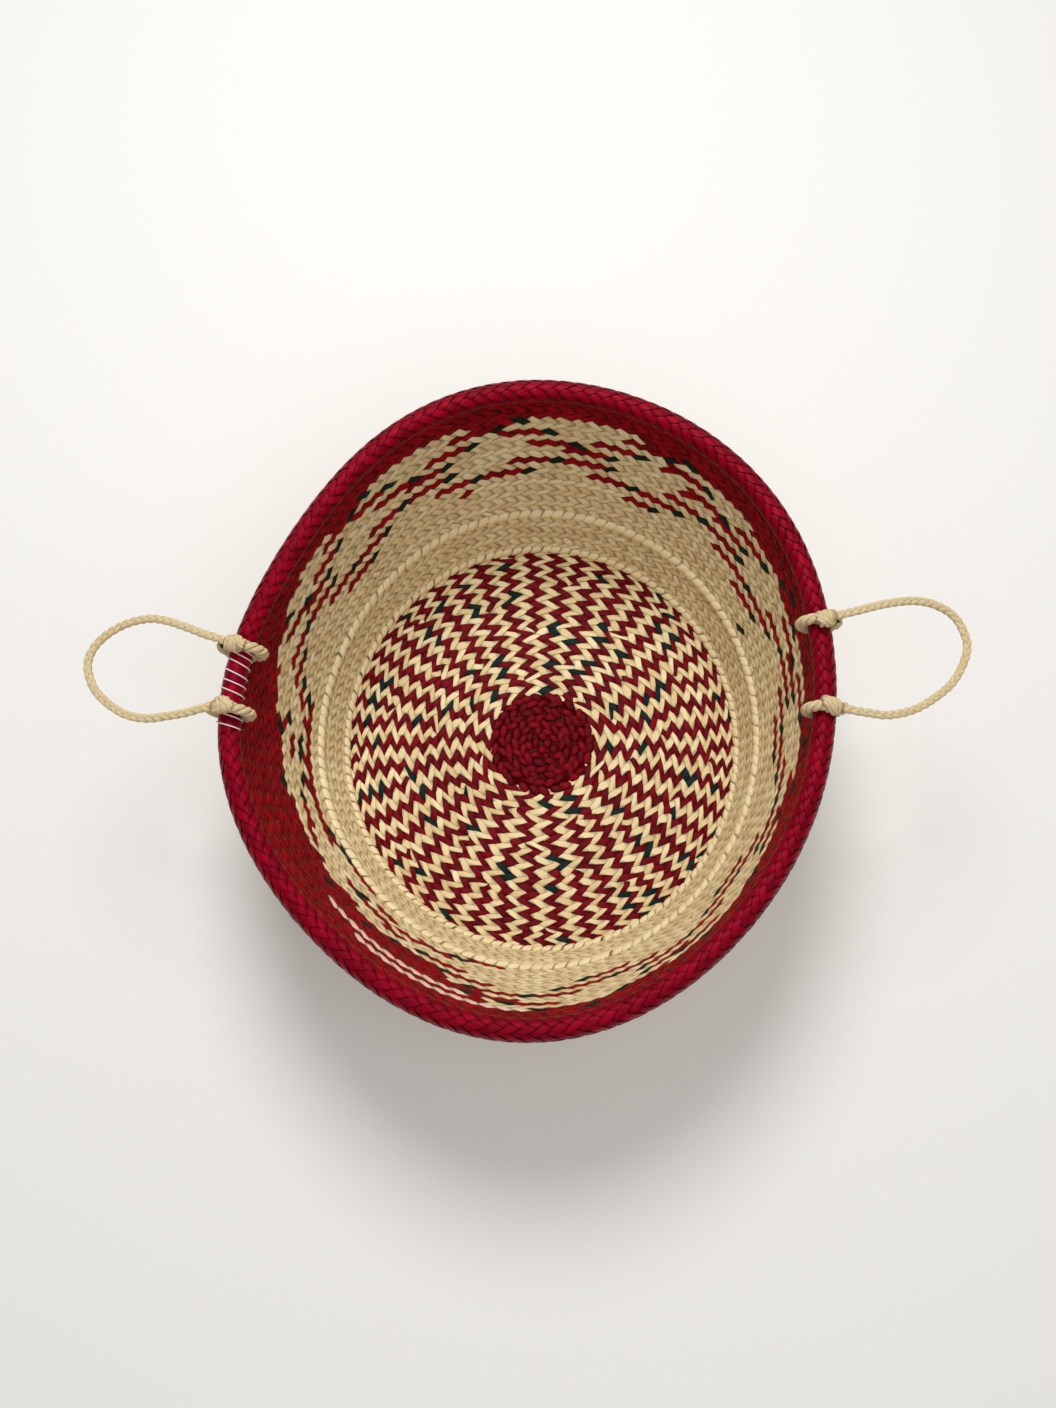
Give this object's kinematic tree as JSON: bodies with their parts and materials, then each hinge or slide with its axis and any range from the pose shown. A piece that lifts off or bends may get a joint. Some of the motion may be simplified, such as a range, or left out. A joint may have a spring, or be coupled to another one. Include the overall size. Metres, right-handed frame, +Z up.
{
  "type": "palm leaf basket",
  "caption": "Round open basket woven from palm leaf strips, with a flat base, a flaring wall, a plaited rim and a swinging rope handle on each side.",
  "frame": {"origin": "middle of the base, on the surface that the basket stands on", "axes": "+Z up, +Y to the back, -X to the handle with the white lashing, +X to the other handle"},
  "size_m": [0.5588, 0.4209, 0.1753],
  "materials": {
    "straw_weave": "natural palm leaf strip, twill woven, satin",
    "mixed_weave": "natural, crimson and dark green palm leaf strips, twill woven, satin",
    "crimson_weave": "crimson dyed palm leaf strip, twill woven, satin",
    "crimson_plait": "crimson dyed palm leaf strip, plaited, glossy",
    "palm_rope": "natural palm fibre, braided rope, matt",
    "white_thread": "off-white sewing thread, matt"
  },
  "bodies": {
    "basket": {"base_mat": "mixed_weave", "start_rosette": "crimson_weave", "base_ridge": "straw_weave", "lower_wall_band": "straw_weave", "wall_ridge": "straw_weave", "middle_wall_band": "straw_weave", "pattern_band": "mixed_weave", "red_band": "crimson_weave", "rim_core": "straw_weave", "rim_braid": "crimson_plait", "rim_splice_wrap": "crimson_plait", "lashing_thread": "white_thread"},
    "left_handle": {"left_handle_rope": "palm_rope", "left_back_knot": "palm_rope", "left_front_knot": "palm_rope", "left_back_eye": "palm_rope", "left_front_eye": "palm_rope"},
    "right_handle": {"right_handle_rope": "palm_rope", "right_back_knot": "palm_rope", "right_front_knot": "palm_rope", "right_back_eye": "palm_rope", "right_front_eye": "palm_rope"}
  },
  "joints": [
    {"name": "left_handle_swing", "type": "hinge", "parent": "basket", "child": "left_handle", "pos_m": [-0.19101, 0.00576, 0.156], "axis": [0.1497, 0.9887, 0], "range_deg": [-90, 130]},
    {"name": "right_handle_swing", "type": "hinge", "parent": "basket", "child": "right_handle", "pos_m": [0.17282, 0.01526, 0.156], "axis": [0.0195, -0.9998, 0], "range_deg": [-90, 130]}
  ]
}
